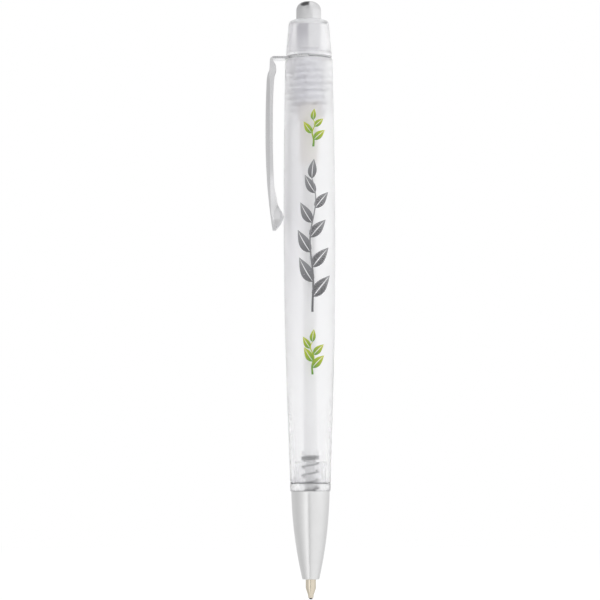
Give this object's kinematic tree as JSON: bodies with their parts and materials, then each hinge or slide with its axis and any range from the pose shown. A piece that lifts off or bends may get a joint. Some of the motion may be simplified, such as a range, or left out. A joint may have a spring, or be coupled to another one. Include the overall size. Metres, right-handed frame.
{
  "type": "retractable ballpoint pen",
  "caption": "Push-button ballpoint pen: frosted tapered barrel, sprung metal clip, silver nose and button, with a cam mechanism, refill and return spring inside.",
  "frame": {"origin": "lowest point of the writing ball, on the pen's axis", "axes": "+Z along the pen's axis from the ball to the button, the clip towards -X, +Y across the clip"},
  "size_m": [0.0163, 0.012, 0.14],
  "materials": {
    "frosted_plastic": "frosted, translucent",
    "clear_plastic": "clear, lightly frosted",
    "satin_silver": "satin",
    "clip_steel": "satin",
    "button_chrome": "satin plated",
    "grey_plastic": "moulded",
    "tan_plastic": "moulded",
    "white_plastic": "extruded, milky",
    "ink": "wet",
    "grease": "soft",
    "tip_brass": "turned",
    "ball_carbide": "polished",
    "spring_steel": "drawn wire"
  },
  "bodies": {
    "barrel": {"barrel": "frosted_plastic", "top_collar": "clear_plastic", "clip_ring": "clip_steel", "nose_coupling": "clear_plastic", "nose_cone": "satin_silver", "return_spring": "spring_steel"},
    "clip": {"clip_arm": "clip_steel"},
    "button": {"push_button": "button_chrome", "plunger_stem": "grey_plastic"},
    "refill": {"ink_tube": "white_plastic", "ink_column": "ink", "ink_follower": "grease", "tip_holder": "white_plastic", "writing_tip": "tip_brass"},
    "ball": {"tip_ball": "ball_carbide"},
    "rotor": {"cam_rotor": "tan_plastic"}
  },
  "joints": [
    {"name": "button_press", "type": "slide", "parent": "barrel", "child": "button", "axis": [0, 0, 1], "range_m": [-0.0014, 0.0056], "stiffness_N_per_m": 300},
    {"name": "refill_slide", "type": "slide", "parent": "barrel", "child": "refill", "axis": [0, 0, 1], "range_m": [-0.0014, 0.0056], "deforming": ["return_spring"]},
    {"name": "rotor_turn", "type": "hinge", "parent": "refill", "child": "rotor", "pos_m": [0, 0, 0.1017], "axis": [0, 0, 1], "range_deg": [-15.5, 60.5]},
    {"name": "clip_flex", "type": "hinge", "parent": "barrel", "child": "clip", "pos_m": [-0.0072, 0, 0.12685], "axis": [0, 1, 0], "range_deg": [0, 4], "stiffness_Nm_per_rad": 0.5},
    {"name": "ball_spin", "type": "hinge", "parent": "refill", "child": "ball", "pos_m": [0, 0, 0.0005], "axis": [1, 0, 0], "continuous": true}
  ],
  "couplings": [
    {"joint": "refill_slide", "follows": "button_press", "ratio": 1},
    {"joint": "rotor_turn", "follows": "button_press", "rad_per_m": 187}
  ]
}
